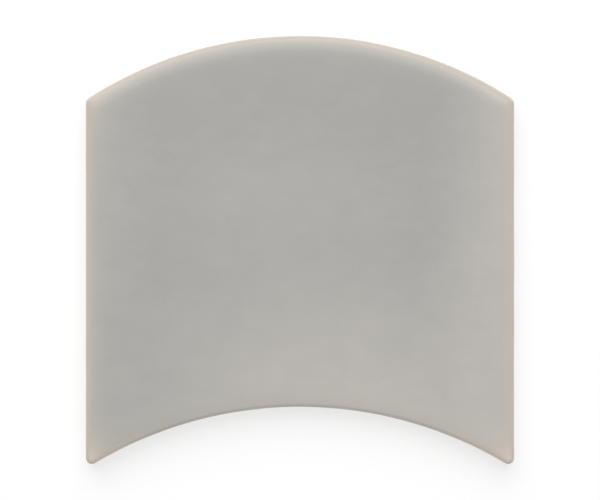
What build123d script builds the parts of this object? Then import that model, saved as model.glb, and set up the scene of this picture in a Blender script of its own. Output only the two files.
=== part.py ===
# Wave wall tile: one fired ceramic unit, stored lying on its back with the glazed face up.
# Its top edge is a crown and its bottom edge a hollow that takes the crown of the tile below,
# so tiles laid in columns make a wave with an even joint.

from math import sqrt
import os

from build123d import *

# Overall format
tile_width = 120.0
tile_height = 120.0
tile_thickness = 9.0

# Wave outline: the hollow is struck from the centre of the next crown, one joint further out
crown_radius = 109.0
joint_width = 3.0
corner_radius = 1.8

# Glazed face: flat in the middle, falling away in a soft roll, with a rounded arris
roll_width = 5.0
roll_drop = 0.6
roll_corner_radius = 3.0
arris_radius = 1.4

# Back: a bevelled rim, and drafted grooves that key into the adhesive
back_bevel = 0.6
groove_pitch = 12.0
groove_width = 5.0
groove_depth = 0.8
groove_draft = 20.0
groove_margin = 9.0

# Places worked out from the sizes above, with the origin in the middle of the format
hollow_radius = crown_radius + joint_width
crown_centre_y = tile_height / 2 - crown_radius
tip_centre_x = tile_width / 2 - corner_radius
tip_centre_y = corner_radius - tile_height / 2
hollow_centre_y = tip_centre_y - sqrt((hollow_radius + corner_radius) ** 2 - tip_centre_x**2)
shoulder_height = tile_thickness - roll_drop


def crown_y(x, inset=0.0):
    """Height of the crowned edge at x, for an outline drawn in by the inset."""
    return crown_centre_y + sqrt((crown_radius - inset) ** 2 - x**2)


def hollow_y(x, inset=0.0):
    """Height of the hollow edge at x, for an outline drawn in by the inset."""
    return hollow_centre_y + sqrt((hollow_radius + inset) ** 2 - x**2)


def wave_outline(level, inset, corner):
    """Wave outline at a level above the back, drawn in by the inset, with rounded corners."""
    side = tile_width / 2 - inset
    with BuildSketch(Plane.XY.offset(level)) as outline:
        with BuildLine():
            crown = ThreePointArc(
                (-side, crown_y(side, inset)), (0, crown_y(0, inset)), (side, crown_y(side, inset))
            )
            right = Line(crown @ 1, (side, hollow_y(side, inset)))
            hollow = ThreePointArc(right @ 1, (0, hollow_y(0, inset)), (-side, hollow_y(side, inset)))
            Line(hollow @ 1, crown @ 0)
        make_face()
        fillet(outline.vertices(), corner)
    return outline.sketch


with BuildPart() as wave_tile:
    # Pressed body with straight sides, up to the shoulder where the roll starts
    extrude(wave_outline(0, 0, corner_radius), amount=shoulder_height)
    chamfer(wave_tile.faces().sort_by(Axis.Z)[0].edges(), back_bevel)

    # Roll: a parabola from the shoulder to the flat, through a third outline halfway in
    loft(
        [
            wave_outline(shoulder_height, 0, corner_radius),
            wave_outline(
                tile_thickness - roll_drop / 4,
                roll_width / 2,
                (corner_radius + roll_corner_radius) / 2,
            ),
            wave_outline(tile_thickness, roll_width, roll_corner_radius),
        ]
    )
    shoulder = wave_tile.edges().filter_by_position(Axis.Z, shoulder_height, shoulder_height)
    fillet(shoulder, arris_radius)

    # Keying grooves run up the back, each shifted with the wave so that all keep the same margin
    groove_count = int((tile_width - groove_width - 2 * groove_margin) / groove_pitch) + 1
    with BuildSketch() as grooves:
        for column in range(groove_count):
            x = (column - (groove_count - 1) / 2) * groove_pitch
            groove_top = crown_y(x) - groove_margin
            groove_foot = hollow_y(x) + groove_margin
            with Locations((x, (groove_top + groove_foot) / 2)):
                SlotOverall(groove_top - groove_foot, groove_width, rotation=90)
    extrude(amount=groove_depth, taper=groove_draft, mode=Mode.SUBTRACT)

wave_tile.part.label = "wave_tile"

os.makedirs("parts", exist_ok=True)
export_step(wave_tile.part, "parts/wave_tile.step")
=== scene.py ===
from math import atan2, exp, log, pi, radians, sin, sqrt, tan

import bmesh
import bpy
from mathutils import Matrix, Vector, noise


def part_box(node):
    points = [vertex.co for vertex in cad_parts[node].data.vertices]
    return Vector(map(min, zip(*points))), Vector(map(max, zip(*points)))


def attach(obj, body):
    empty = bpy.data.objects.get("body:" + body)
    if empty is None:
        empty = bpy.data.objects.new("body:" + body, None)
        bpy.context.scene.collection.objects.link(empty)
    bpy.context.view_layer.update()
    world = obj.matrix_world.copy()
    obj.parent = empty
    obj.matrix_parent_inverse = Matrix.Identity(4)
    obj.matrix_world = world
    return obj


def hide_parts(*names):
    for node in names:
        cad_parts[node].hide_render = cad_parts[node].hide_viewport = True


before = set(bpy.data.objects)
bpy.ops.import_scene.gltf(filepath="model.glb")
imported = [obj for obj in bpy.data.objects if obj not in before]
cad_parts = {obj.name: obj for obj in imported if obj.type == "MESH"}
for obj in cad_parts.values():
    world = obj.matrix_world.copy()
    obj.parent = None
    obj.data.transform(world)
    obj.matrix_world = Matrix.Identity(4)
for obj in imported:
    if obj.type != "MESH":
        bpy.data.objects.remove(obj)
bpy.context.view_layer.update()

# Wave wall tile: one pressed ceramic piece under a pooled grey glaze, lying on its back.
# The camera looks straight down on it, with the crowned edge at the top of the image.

mm = 0.001

# Wave outline, struck as the pressed body is
tile_low, tile_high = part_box("wave_tile")
tile_width = tile_high.x - tile_low.x
tile_height = tile_high.y - tile_low.y
tile_thickness = tile_high.z - tile_low.z
half_width = tile_width / 2
crown_radius = 109 * mm
joint_width = 3 * mm
corner_radius = 1.8 * mm
hollow_radius = crown_radius + joint_width
corner_x = half_width - corner_radius
crown_centre_y = tile_high.y - crown_radius
shoulder_y = crown_centre_y + sqrt((crown_radius - corner_radius) ** 2 - corner_x**2)
tip_y = tile_low.y + corner_radius
hollow_centre_y = tip_y - sqrt((hollow_radius + corner_radius) ** 2 - corner_x**2)

# Rolled edge of the glazed face
roll_width = 5 * mm
roll_drop = 0.6 * mm
mitre_softness = 0.8 * mm
arris_radius = 1.4 * mm
arris_foot = tile_thickness - roll_drop - arris_radius

# What the kiln does to it: a slow swell of the face, and edges that waver inwards
swell_depth = 0.07 * mm
swell_drift = {"size": 24 * mm, "seed": 3.7}
wobble_depth = 0.14 * mm
wobble_drift = {"size": 11 * mm, "seed": 5.2}

# Glaze on the sides: it runs down to an uneven line above the bare body
glaze_line = 3.6 * mm
glaze_line_swing = 1.5 * mm
run_drift = {"size": 8 * mm, "seed": 8.1}
fine_run_drift = {"size": 8 / 3 * mm, "seed": 2.3}
fine_run_share = 0.35
mean_run = 0.67
glaze_thickness = 0.2 * mm

# Bead where the run stops, as rings: height above the line, inset, film of glaze and share of bead
bead_rise = 0.06 * mm
bead_rings = [
    (0.9 * mm, bead_rise, 1.0, 0.1),
    (0.35 * mm, 0.0, 1.0, 1.0),
    (0.1 * mm, 0.3 * glaze_thickness, 0.8, 1.0),
    (0.0, 0.8 * glaze_thickness, 0.3, 1.0),
    (-0.15 * mm, glaze_thickness, 0.0, 0.0),
]

# Back: bevelled rim and drafted keying grooves
back_bevel = 0.6 * mm
groove_pitch = 12 * mm
groove_width = 5 * mm
groove_depth = 0.8 * mm
groove_draft = radians(20)
groove_margin = 9 * mm
groove_radius = groove_width / 2
groove_count = int((tile_width - groove_width - 2 * groove_margin) / groove_pitch) + 1
groove_middles = [(column - (groove_count - 1) / 2) * groove_pitch for column in range(groove_count)]

# Mesh lines: rings close to the edge, columns along grooves and ribs, and rows between the groove ends
ring_insets = [inset * mm for inset in (0, 0.12, 0.35, 0.62, 0.95, 1.5, 2.3, 3.2, 4.4, 6.0)]
back_inset = back_bevel + glaze_thickness
back_insets = [back_inset + inset * (1 - back_inset / ring_insets[-1]) for inset in ring_insets]
groove_angles = [radians(angle) for angle in range(-90, 91, 30)]
rib_shares = (1 / 3, 2 / 3)
row_count = 44
row_gap = 1.2 * mm
upper_ring_share = 0.6
bevel_ring_rise = 0.15 * mm
bevel_ring_step = 0.1 * mm
sharp_angle = radians(38)

# The sides of a new block come in no steady order, so its parts are sorted by column, row and level
order_weights = Vector((1e5, 300, 1))


def crown_y(x, inset=0.0):
    """Height of the crowned edge at x, for an outline drawn in by the inset."""
    return crown_centre_y + sqrt((crown_radius - inset) ** 2 - x**2)


def hollow_y(x, inset=0.0):
    """Height of the hollow edge at x, for an outline drawn in by the inset."""
    return hollow_centre_y + sqrt((hollow_radius + inset) ** 2 - x**2)


def length(across, up):
    """Length of the way across and up, for numbers or shader sockets."""
    return (across**2 + up**2) ** 0.5


def edge_distances(x, y):
    """Distances in from the side, the crown and the hollow as if they met sharp, for numbers or sockets."""
    from_side = half_width - abs(x)
    from_crown = crown_radius - length(x, y - crown_centre_y)
    from_hollow = length(x, y - hollow_centre_y) - hollow_radius
    return from_side, from_crown, from_hollow


# Each rounded corner on the right: its centre, and the angles between which its arc runs
corners = [
    (Vector((corner_x, tip_y)), atan2(hollow_centre_y - tip_y, -corner_x), 0.0),
    (Vector((corner_x, shoulder_y)), 0.0, atan2(shoulder_y - crown_centre_y, corner_x)),
]


def corner_reach(x, y):
    """Centre of the corner whose wedge holds the point, and the way to the point; both on the right."""
    for centre, first, last in corners:
        reach = Vector((abs(x), y)) - centre
        if first < atan2(reach.y, reach.x) < last:
            return centre, reach
    return None, None


def edge_distance(x, y):
    """Distance in from the outline with its rounded corners."""
    centre, reach = corner_reach(x, y)
    distance = corner_radius - reach.length if centre else min(edge_distances(x, y))
    return max(distance, 0.0)


def outward(x, y):
    """Direction straight out of the outline at its point nearest to x, y."""
    hand = 1 if x >= 0 else -1
    centre, reach = corner_reach(x, y)
    if centre:
        return Vector((hand * reach.x, reach.y)).normalized()
    distances = edge_distances(x, y)
    directions = [
        Vector((hand, 0)),
        Vector((x, y - crown_centre_y)),
        Vector((-x, hollow_centre_y - y)),
    ]
    return directions[distances.index(min(distances))].normalized()


def rounded(x, y, inset):
    """The point x, y of the sharp outline drawn in by the inset, pulled onto the corner's arc."""
    centre, reach = corner_reach(x, y)
    if centre is None or inset >= corner_radius:
        return Vector((x, y))
    place = centre + reach.normalized() * (corner_radius - inset)
    return Vector((place.x if x >= 0 else -place.x, place.y))


def drift(x, y, size, seed):
    """Slow unevenness between 0 and 1, of features about the given size."""
    return 0.5 + 0.5 * noise.noise(Vector((x / size, y / size, seed)))


def face_height(x, y):
    """Height of the glazed face: flat, with the roll, the arris and the slow swell of the fired glaze."""
    softened = [exp(-distance / mitre_softness) for distance in edge_distances(x, y)]
    into_roll = -mitre_softness * log(sum(softened))
    roll = roll_drop * max(0.0, 1 - into_roll / roll_width) ** 2
    distance = edge_distance(x, y)
    short = max(0.0, arris_radius - distance)
    arris = arris_radius - sqrt(arris_radius**2 - short**2)
    swell = swell_depth * drift(x, y, **swell_drift) * min(1.0, distance / roll_width)
    return tile_thickness - roll - arris - swell


def side_rings(x, y):
    """Rings down the side at x, y from the arris to the bevel: height, inset, film of glaze and bead."""
    run = drift(x, y, **run_drift) + fine_run_share * drift(x, y, **fine_run_drift)
    line = glaze_line + glaze_line_swing * (run - mean_run)
    upper = upper_ring_share * arris_foot + (1 - upper_ring_share) * line
    return [
        (upper, bead_rise, 1.0, 0.0),
        *[(line + rise, inset, film, bead) for rise, inset, film, bead in bead_rings],
        ((line + back_bevel) / 2, glaze_thickness, 0.0, 0.0),
        (back_bevel + bevel_ring_rise, glaze_thickness, 0.0, 0.0),
        (back_bevel - bevel_ring_step, glaze_thickness + bevel_ring_step, 0.0, 0.0),
    ]


def wobble(x, y):
    """How far the fired edge wavers inwards at x, y, dying out at the innermost ring."""
    fade = max(0.0, 1 - edge_distance(x, y) / ring_insets[-1])
    return fade * wobble_depth * drift(x, y, **wobble_drift)


def groove_end(x):
    """How far the round end of the nearest groove stands out at x beyond its straight sides."""
    aside = min(abs(x - middle) for middle in groove_middles)
    return sqrt(max(0.0, groove_radius**2 - aside**2))


def groove_foot_y(x):
    """Lower end of the grooves at x."""
    return hollow_y(x) + groove_margin + groove_radius - groove_end(x)


def groove_head_y(x):
    """Upper end of the grooves at x."""
    return crown_y(x) - groove_margin - groove_radius + groove_end(x)


def mesh_columns(insets):
    """Places of the mesh lines across the tile, each with the inset of its ring."""
    inner = insets[-1]
    rib_width = groove_pitch - groove_width
    columns = [(hand * (half_width - inset), inset) for hand in (-1, 1) for inset in insets]
    for middle in groove_middles:
        columns += [(middle + groove_radius * sin(angle), inner) for angle in groove_angles]
    for middle in groove_middles[:-1]:
        columns += [(middle + groove_radius + share * rib_width, inner) for share in rib_shares]
    return sorted(columns)


def mesh_rows(insets, x):
    """Heights of the mesh lines at x from the hollow to the crown, each with the inset of its ring."""
    inner = insets[-1]
    foot = hollow_y(x) + groove_margin + groove_radius + row_gap
    head = crown_y(x) - groove_margin - groove_radius - row_gap
    between = [foot + step / (row_count - 1) * (head - foot) for step in range(row_count)]
    return [
        *[(hollow_y(x, inset), inset) for inset in insets],
        *[(y, inner) for y in (groove_foot_y(x), *between, groove_head_y(x))],
        *[(crown_y(x, inset), inset) for inset in reversed(insets)],
    ]


def mesh_crossings(insets):
    """Places where the mesh lines cross, column by column, drawn onto the rounded corners."""
    crossings = []
    for x, ring_across in mesh_columns(insets):
        rows = mesh_rows(insets, x)
        crossings.append([rounded(x, y, min(ring_across, ring_up)) for y, ring_up in rows])
    return crossings


def tile_block(last_column, last_row, last_level):
    """A block one unit each way, with that many steps across, up and down its sides."""
    block = bmesh.new()
    bmesh.ops.create_grid(block, x_segments=last_column, y_segments=last_row, size=0.5)
    raised = bmesh.ops.extrude_face_region(block, geom=block.faces[:], use_keep_orig=True)["geom"]
    front = [item for item in raised if isinstance(item, bmesh.types.BMVert)]
    bmesh.ops.translate(block, verts=front, vec=(0, 0, 1))
    uprights = [edge for edge in block.edges if edge.verts[0].co.z != edge.verts[1].co.z]
    bmesh.ops.subdivide_edges(block, edges=uprights, cuts=last_level - 1, use_grid_fill=True)
    block.verts.sort(key=lambda vertex: vertex.co.dot(order_weights))
    block.faces.sort(key=lambda face: face.calc_center_median().dot(order_weights))
    return block


def in_groove(face, middle):
    """True for a face of the back that lies within the groove along the middle line."""
    x, y, _ = face.calc_center_median()
    on_back = face.normal.z < 0
    return on_back and abs(x - middle) < groove_radius and groove_foot_y(x) < y < groove_head_y(x)


def press_grooves(tile):
    """Presses the keying grooves into the back, with sloping walls."""
    bmesh.ops.recalc_face_normals(tile, faces=tile.faces)
    for middle in groove_middles:
        bmesh.ops.inset_region(
            tile,
            faces=[face for face in tile.faces if in_groove(face, middle)],
            thickness=groove_depth * tan(groove_draft),
            depth=-groove_depth,
            use_boundary=True,
            use_even_offset=True,
        )


def add_object(name, shape):
    """A new object in the scene, with the mesh that was modelled for it."""
    mesh = bpy.data.meshes.new(name)
    shape.to_mesh(mesh)
    shape.free()
    piece = bpy.data.objects.new(name, mesh)
    bpy.context.collection.objects.link(piece)
    return piece


def fired_tile():
    """The tile as one closed mesh: glazed face, sides with the glaze line, and the grooved back."""
    face_places = mesh_crossings(ring_insets)
    back_places = mesh_crossings(back_insets)
    last_column = len(face_places) - 1
    last_row = len(face_places[0]) - 1
    last_level = len(side_rings(0, 0)) + 1
    tile = tile_block(last_column, last_row, last_level)
    film = tile.verts.layers.float.new("glaze_film")
    bead = tile.verts.layers.float.new("glaze_bead")

    # Each vertex of the block goes to its own crossing, from the face at level 0 down to the back
    for vertex in tile.verts:
        column = round((vertex.co.x + 0.5) * last_column)
        row = round((vertex.co.y + 0.5) * last_row)
        level = round((1 - vertex.co.z) * last_level)
        places = back_places if level == last_level else face_places
        place = places[column][row]
        height = inset = 0.0
        if level == 0:
            height = face_height(*place)
            vertex[film] = 1.0
        elif level < last_level:
            height, inset, vertex[film], vertex[bead] = side_rings(*place)[level - 1]
        place = place - outward(*place) * (inset + wobble(*place))
        vertex.co = (*place, height)

    press_grooves(tile)
    piece = add_object("fired_tile", tile)
    piece.data.shade_smooth()
    piece.data.set_sharp_from_angle(angle=sharp_angle)
    return piece


class Socket:
    """An output socket of a shader node. Python's operators on it add Math nodes."""

    def __init__(self, nodes, socket):
        self.nodes = nodes
        self.socket = socket

    def __add__(self, other):
        return self.nodes.math("ADD", self, other)

    def __sub__(self, other):
        return self.nodes.math("SUBTRACT", self, other)

    def __rsub__(self, other):
        return self.nodes.math("SUBTRACT", other, self)

    def __mul__(self, other):
        return self.nodes.math("MULTIPLY", self, other)

    def __truediv__(self, other):
        return self.nodes.math("DIVIDE", self, other)

    def __rtruediv__(self, other):
        return self.nodes.math("DIVIDE", other, self)

    def __pow__(self, other):
        return self.nodes.math("POWER", self, other)

    def __rpow__(self, other):
        return self.nodes.math("POWER", other, self)

    def __abs__(self):
        return self.nodes.math("ABSOLUTE", self)

    __radd__ = __add__
    __rmul__ = __mul__


class Nodes:
    """The nodes of one material or of the world."""

    def __init__(self, owner):
        owner.use_nodes = True
        self.tree = owner.node_tree
        self.tree.nodes.clear()

    def add(self, kind, settings=None, inputs=None, output=0):
        """Adds a node: its settings first, then the value or link of each named or numbered socket."""
        node = self.tree.nodes.new(kind)
        for name, setting in (settings or {}).items():
            setattr(node, name, setting)
        for name, given in (inputs or {}).items():
            if isinstance(given, Socket):
                self.tree.links.new(given.socket, node.inputs[name])
            else:
                node.inputs[name].default_value = given
        return Socket(self, node.outputs[output]) if node.outputs else None

    def math(self, operation, *terms):
        return self.add("ShaderNodeMath", {"operation": operation}, dict(enumerate(terms)))

    def clamp(self, amount):
        """The amount, kept between 0 and 1."""
        return self.add("ShaderNodeClamp", inputs={"Value": amount})

    def fade(self, distance, reach):
        """1 at no distance, dying away over the reach."""
        return self.math("EXPONENT", distance / -reach)

    def ramp(self, amount, first, last, low=0.0, high=1.0):
        """Eases from low to high as the amount goes from first to last."""
        inputs = {"Value": amount, "From Min": first, "From Max": last, "To Min": low, "To Max": high}
        return self.add("ShaderNodeMapRange", {"interpolation_type": "SMOOTHSTEP"}, inputs)

    def mix(self, share, first, second):
        """Colour between the first at share 0 and the second at share 1."""
        return self.add("ShaderNodeMix", {"data_type": "RGBA"}, {0: share, 6: first, 7: second}, output=2)

    def place(self):
        """Object coordinates of the piece."""
        return self.add("ShaderNodeTexCoord", output="Object")

    def axis(self, name):
        return self.add("ShaderNodeSeparateXYZ", inputs={"Vector": self.place()}, output=name)

    def attribute(self, name):
        return self.add("ShaderNodeAttribute", {"attribute_name": name}, output="Fac")

    def clouds(self, size, detail, seed, squeeze=(1, 1, 1)):
        """Noise between 0 and 1 with features of about the size, drawn out where the squeeze is under 1."""
        place = self.add("ShaderNodeMapping", inputs={"Vector": self.place(), "Scale": squeeze})
        inputs = {"Vector": place, "W": seed, "Scale": 1 / size, "Detail": detail}
        return self.add("ShaderNodeTexNoise", {"noise_dimensions": "4D"}, inputs)

    def swing(self, **cloud):
        """The same noise, swinging about 0."""
        return self.clouds(**cloud) - 0.5


def srgb(red, green, blue):
    """A colour as seen on screen, from 0 to 255, as linear light."""
    levels = [level / 255 for level in (red, green, blue)]
    light = [((level + 0.055) / 1.055) ** 2.4 for level in levels]
    return (*light, 1.0)


# Glaze colours: darker and cool, lighter and warm, drawn thin along the roll, and broken over the arris
pool_colour = srgb(167, 166, 162)
light_glaze_colour = srgb(191, 187, 181)
roll_colour = srgb(200, 191, 177)
break_colour = srgb(231, 213, 197)

# Lighter strips: the share at the edge, how far it is full and how far it reaches
right_strip = {"share": 0.85, "full": 3 * mm, "reach": 30 * mm}
right_lean = 0.12
left_strip = {"share": 0.46, "full": 1 * mm, "reach": 22 * mm}
left_foot_share = 0.35
left_sway = 0.4
crescent = {"share": 0.88, "full": 3 * mm, "reach": 50 * mm}
crescent_start = -62 * mm
crescent_start_share = 0.1
crescent_full = 6 * mm
crescent_wane = 14 * mm
crescent_end_share = 0.4

# A lighter patch above the middle, and slowly lighter towards the foot, less so on the left
patch_place = (-10 * mm, 14 * mm)
patch_size = (48 * mm, 24 * mm)
patch_reach = 1.3
patch_share = 0.27
fall_share = 0.34
fall_left_share = 0.35

# Clouds in the glaze, and how much each one thins or thickens it
slow_clouds = {"size": 34 * mm, "detail": 2.0, "seed": 1.3}
small_clouds = {"size": 9 * mm, "detail": 3.0, "seed": 4.1}
wisps = {"size": 3.2 * mm, "detail": 2.0, "seed": 2.2, "squeeze": (0.5, 1, 1)}
flecks = {"size": 1.1 * mm, "detail": 2.0, "seed": 5.6}
slow_share = 0.45
small_share = 0.35
wisp_share = 0.3
fleck_share = 0.2
border_sway = 14 * mm

# How far the glaze draws off the roll
roll_reach = 2.5 * mm
side_roll_share = 0.85
crown_roll_share = 0.95
hollow_roll_share = 0.5

# How far it breaks over the arris: most at the sides and the tips, least along the hollow
break_reach = 0.65 * mm
rim_softness = 2 * mm
crown_break_start = 5 * mm
crown_break_share = 0.7
hollow_break_ends = (38 * mm, 55 * mm)
hollow_break_share = 0.3
tip_break_share = 1.4
tip_reach = 3.5 * mm
tip_share = 0.6
rim_clouds = {"size": 5 * mm, "detail": 2.0, "seed": 7.7}
even_break = 0.7
uneven_break = 0.5

# Down the sides: where the break gives way to streaks, and the bead above the bare body
side_heights = (arris_foot - 1.8 * mm, arris_foot + 0.7 * mm)
side_break_share = 0.2
streaks = {"size": 2.2 * mm, "detail": 2.0, "seed": 3.3, "squeeze": (1, 1, 0.2)}
streak_limits = (0.3, 0.8)
streak_share = 0.4
bead_share = 0.55
film_limits = (0.25, 0.65)

# Bare body: pressed grains and the blotches of the kiln
body_colour = srgb(223, 212, 198)
body_dark_colour = srgb(205, 190, 174)
grains = {"size": 1.1 * mm, "detail": 4.0, "seed": 2.9}
blotches = {"size": 17 * mm, "detail": 3.0, "seed": 6.4}
grain_share = 0.6
blotch_share = 0.6
body_limits = (0.35, 0.85)

# Gloss, and the relief of orange peel and open grains in millimetres
glaze_ior = 1.5
glaze_roughness = 0.21
uneven_roughness = 0.06
body_roughness = 0.85
orange_peel = {"size": 2.6 * mm, "detail": 2.0, "seed": 9.2}
peel_relief = 0.006
grain_relief = 0.12


class TilePlace:
    """Where on the tile the shader is, as sockets: its coordinates and its distances in from the edges."""

    def __init__(self, nodes):
        self.x = nodes.axis("X")
        self.y = nodes.axis("Y")
        self.z = nodes.axis("Z")
        self.aside = abs(self.x)
        self.from_side, self.from_crown, self.from_hollow = edge_distances(self.x, self.y)


def face_lightness(nodes, at):
    """How light the glaze is on the face, from 0 at its darkest to 1: lighter strips, a patch and clouds.
    """

    def strip(distance, share, full, reach):
        return nodes.ramp(distance, full, reach, share, 0.0)

    slow = nodes.swing(**slow_clouds)
    sway = slow * border_sway
    right = strip(half_width - at.x + at.y * right_lean + sway, **right_strip)
    left = strip(half_width + at.x + sway * left_sway, **left_strip)
    left = left * nodes.ramp(at.y, tile_low.y, tile_high.y, left_foot_share, 1.0)
    foot = strip(at.from_hollow + sway, **crescent)
    foot = foot * nodes.ramp(at.x, crescent_start, crescent_full, crescent_start_share, 1.0)
    foot = foot * nodes.ramp(at.x, crescent_wane, half_width, 1.0, crescent_end_share)
    patch_across = (at.x - patch_place[0]) / patch_size[0]
    patch_up = (at.y - patch_place[1]) / patch_size[1]
    patch = nodes.ramp(length(patch_across, patch_up) + slow, 0.0, patch_reach, patch_share, 0.0)
    fall = nodes.ramp(at.y, tile_low.y, tile_high.y, fall_share, 0.0)
    fall = fall * nodes.ramp(at.x, -half_width, 0.0, fall_left_share, 1.0)
    base_share = (1 - right) * (1 - left) * (1 - foot) * (1 - patch) * (1 - fall)

    large = slow * slow_share + nodes.swing(**small_clouds) * small_share
    fine = nodes.swing(**wisps) * wisp_share + nodes.swing(**flecks) * fleck_share
    return nodes.clamp(1 - base_share + large + fine)


def drawn_off_roll(nodes, at):
    """How far the glaze has drawn away from the rolled edges."""
    on_sides = 1 - nodes.fade(at.from_side, roll_reach) * side_roll_share
    on_crown = 1 - nodes.fade(at.from_crown, roll_reach) * crown_roll_share
    on_hollow = 1 - nodes.fade(at.from_hollow, roll_reach) * hollow_roll_share
    return 1 - on_sides * on_crown * on_hollow


def broken_over_arris(nodes, at, uneven):
    """How far the glaze has broken open over the arris and at the tips."""
    from_rim = nodes.math("SMOOTH_MIN", at.from_side, at.from_crown, rim_softness)
    to_crown = nodes.ramp(at.from_side - at.from_crown, 0.0, crown_break_start, 1.0, crown_break_share)
    over_rim = nodes.fade(from_rim, break_reach) * to_crown
    to_tip = nodes.ramp(at.aside, *hollow_break_ends, hollow_break_share, tip_break_share)
    over_hollow = nodes.fade(at.from_hollow, break_reach) * to_tip
    over_edge = nodes.math("MAXIMUM", over_rim, over_hollow) * (even_break + uneven_break * uneven)
    from_tip = length(at.aside - corner_x, at.y - tip_y)
    over_tip = nodes.fade(from_tip, tip_reach) * tip_share
    return nodes.clamp(nodes.math("MAXIMUM", over_edge, over_tip))


def glaze_tone(nodes, at, uneven):
    """Colour of the glaze: over the face, in streaks down the sides and gathered in the bead."""
    on_face = nodes.ramp(at.z, *side_heights, side_break_share, 1.0)
    tone = nodes.mix(face_lightness(nodes, at), pool_colour, light_glaze_colour)
    tone = nodes.mix(drawn_off_roll(nodes, at), tone, roll_colour)
    tone = nodes.mix(broken_over_arris(nodes, at, uneven) * on_face, tone, break_colour)
    run = nodes.ramp(nodes.clouds(**streaks), *streak_limits, 0.0, streak_share)
    bead = nodes.attribute("glaze_bead") * bead_share
    gathered = nodes.math("MAXIMUM", (1 - on_face) * run, bead)
    return nodes.mix(gathered, tone, pool_colour)


def body_tone(nodes, grain):
    """Colour of the bare body, with its grains and blotches."""
    marks = grain_share * grain + blotch_share * nodes.clouds(**blotches)
    return nodes.mix(nodes.ramp(marks, *body_limits), body_colour, body_dark_colour)


def glazed_ceramic():
    """Glossy grey glaze, darker and lighter over the face, and the bare body below the glaze line."""
    material = bpy.data.materials.new("glazed_ceramic")
    nodes = Nodes(material)
    uneven = nodes.clouds(**rim_clouds)
    grain = nodes.clouds(**grains)
    glazed = nodes.ramp(nodes.attribute("glaze_film"), *film_limits)
    colour = nodes.mix(glazed, body_tone(nodes, grain), glaze_tone(nodes, TilePlace(nodes), uneven))
    gloss = glaze_roughness + uneven_roughness * uneven
    roughness = body_roughness + glazed * (gloss - body_roughness)
    relief = glazed * nodes.clouds(**orange_peel) * peel_relief + (1 - glazed) * grain * grain_relief
    bump = nodes.add("ShaderNodeBump", inputs={"Strength": 1.0, "Distance": mm, "Height": relief})
    finish = {"Base Color": colour, "Roughness": roughness, "IOR": glaze_ior, "Normal": bump}
    surface = nodes.add("ShaderNodeBsdfPrincipled", inputs=finish)
    nodes.add("ShaderNodeOutputMaterial", inputs={"Surface": surface})
    return material


# Studio: a white floor, an even sky, a large soft lamp above the crowned edge and a weak one across from it
sky_light = 0.4
lamps = {
    "key_lamp": {"light": 0.66, "place": Vector((-0.1, 0.95, 1.15)), "size": 1.6},
    "fill_lamp": {"light": 0.06, "place": Vector((0.3, -1.2, 1.0)), "size": 1.2},
}
floor_size = 2.4
floor_colour = srgb(230, 230, 230)
seen_floor_colour = srgb(170, 170, 170)
seen_floor_glow = 0.64
white = (1, 1, 1, 1)

# Camera: a long lens and its sensor in millimetres, the image in pixels, and the tile's share of its height
lens = 150.0
sensor_width = 36.0
image_width, image_height = 600, 500
tile_share = 0.86


def seen_directly(nodes):
    """1 for what the camera sees itself, in a reflection or through glass, and 0 for light on the tile."""
    rays = ["Is Camera Ray", "Is Glossy Ray", "Is Transmission Ray"]
    camera, glossy, through = [nodes.add("ShaderNodeLightPath", output=ray) for ray in rays]
    return nodes.clamp(camera + glossy + through)


def white_floor():
    """White floor: it lights the tile as pale matt paint does, and is seen as white with a soft shadow."""
    material = bpy.data.materials.new("white_floor")
    nodes = Nodes(material)
    lighting = nodes.add("ShaderNodeBsdfDiffuse", inputs={"Color": floor_colour})
    shaded = nodes.add("ShaderNodeBsdfDiffuse", inputs={"Color": seen_floor_colour})
    glow = nodes.add("ShaderNodeEmission", inputs={"Color": white, "Strength": seen_floor_glow})
    seen = nodes.add("ShaderNodeAddShader", inputs={0: shaded, 1: glow})
    surface = nodes.add("ShaderNodeMixShader", inputs={0: seen_directly(nodes), 1: lighting, 2: seen})
    nodes.add("ShaderNodeOutputMaterial", inputs={"Surface": surface})
    return material


def add_floor():
    """A plain floor under the tile, which keeps its shadow."""
    sheet = bmesh.new()
    bmesh.ops.create_grid(sheet, x_segments=1, y_segments=1, size=floor_size / 2)
    floor = add_object("floor", sheet)
    floor.data.materials.append(white_floor())


def add_sky():
    """An even sky that is white where it is seen."""
    world = bpy.data.worlds.new("studio")
    bpy.context.scene.world = world
    nodes = Nodes(world)
    lighting = nodes.add("ShaderNodeBackground", inputs={"Color": white, "Strength": sky_light})
    seen = nodes.add("ShaderNodeBackground", inputs={"Color": white, "Strength": 1.0})
    sky = nodes.add("ShaderNodeMixShader", inputs={0: seen_directly(nodes), 1: lighting, 2: seen})
    nodes.add("ShaderNodeOutputWorld", inputs={"Surface": sky})


def add_lamp(name, light, place, size):
    """A soft square lamp aimed at the tile; light is how bright it makes a white card lying there."""
    lamp = bpy.data.lights.new(name, "AREA")
    lamp.size = size
    height_share = place.z / place.length
    lamp.energy = light * pi**2 * place.length_squared / height_share
    stand = bpy.data.objects.new(name, lamp)
    stand.location = place
    stand.rotation_euler = (-place).to_track_quat("-Z", "Y").to_euler()
    bpy.context.collection.objects.link(stand)


def add_camera():
    """A camera straight above the tile."""
    camera_data = bpy.data.cameras.new("camera")
    camera_data.lens = lens
    camera_data.sensor_width = sensor_width
    seen_height = tile_height / tile_share
    sensor_height = sensor_width * image_height / image_width
    camera = bpy.data.objects.new("camera", camera_data)
    camera.location = (0, 0, tile_thickness + lens * seen_height / sensor_height)
    bpy.context.collection.objects.link(camera)
    bpy.context.scene.camera = camera


tile = fired_tile()
tile.data.materials.append(glazed_ceramic())
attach(tile, "root")
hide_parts("wave_tile")
add_floor()
add_sky()
for name, settings in lamps.items():
    add_lamp(name, **settings)
add_camera()
bpy.context.scene.view_settings.view_transform = "Standard"
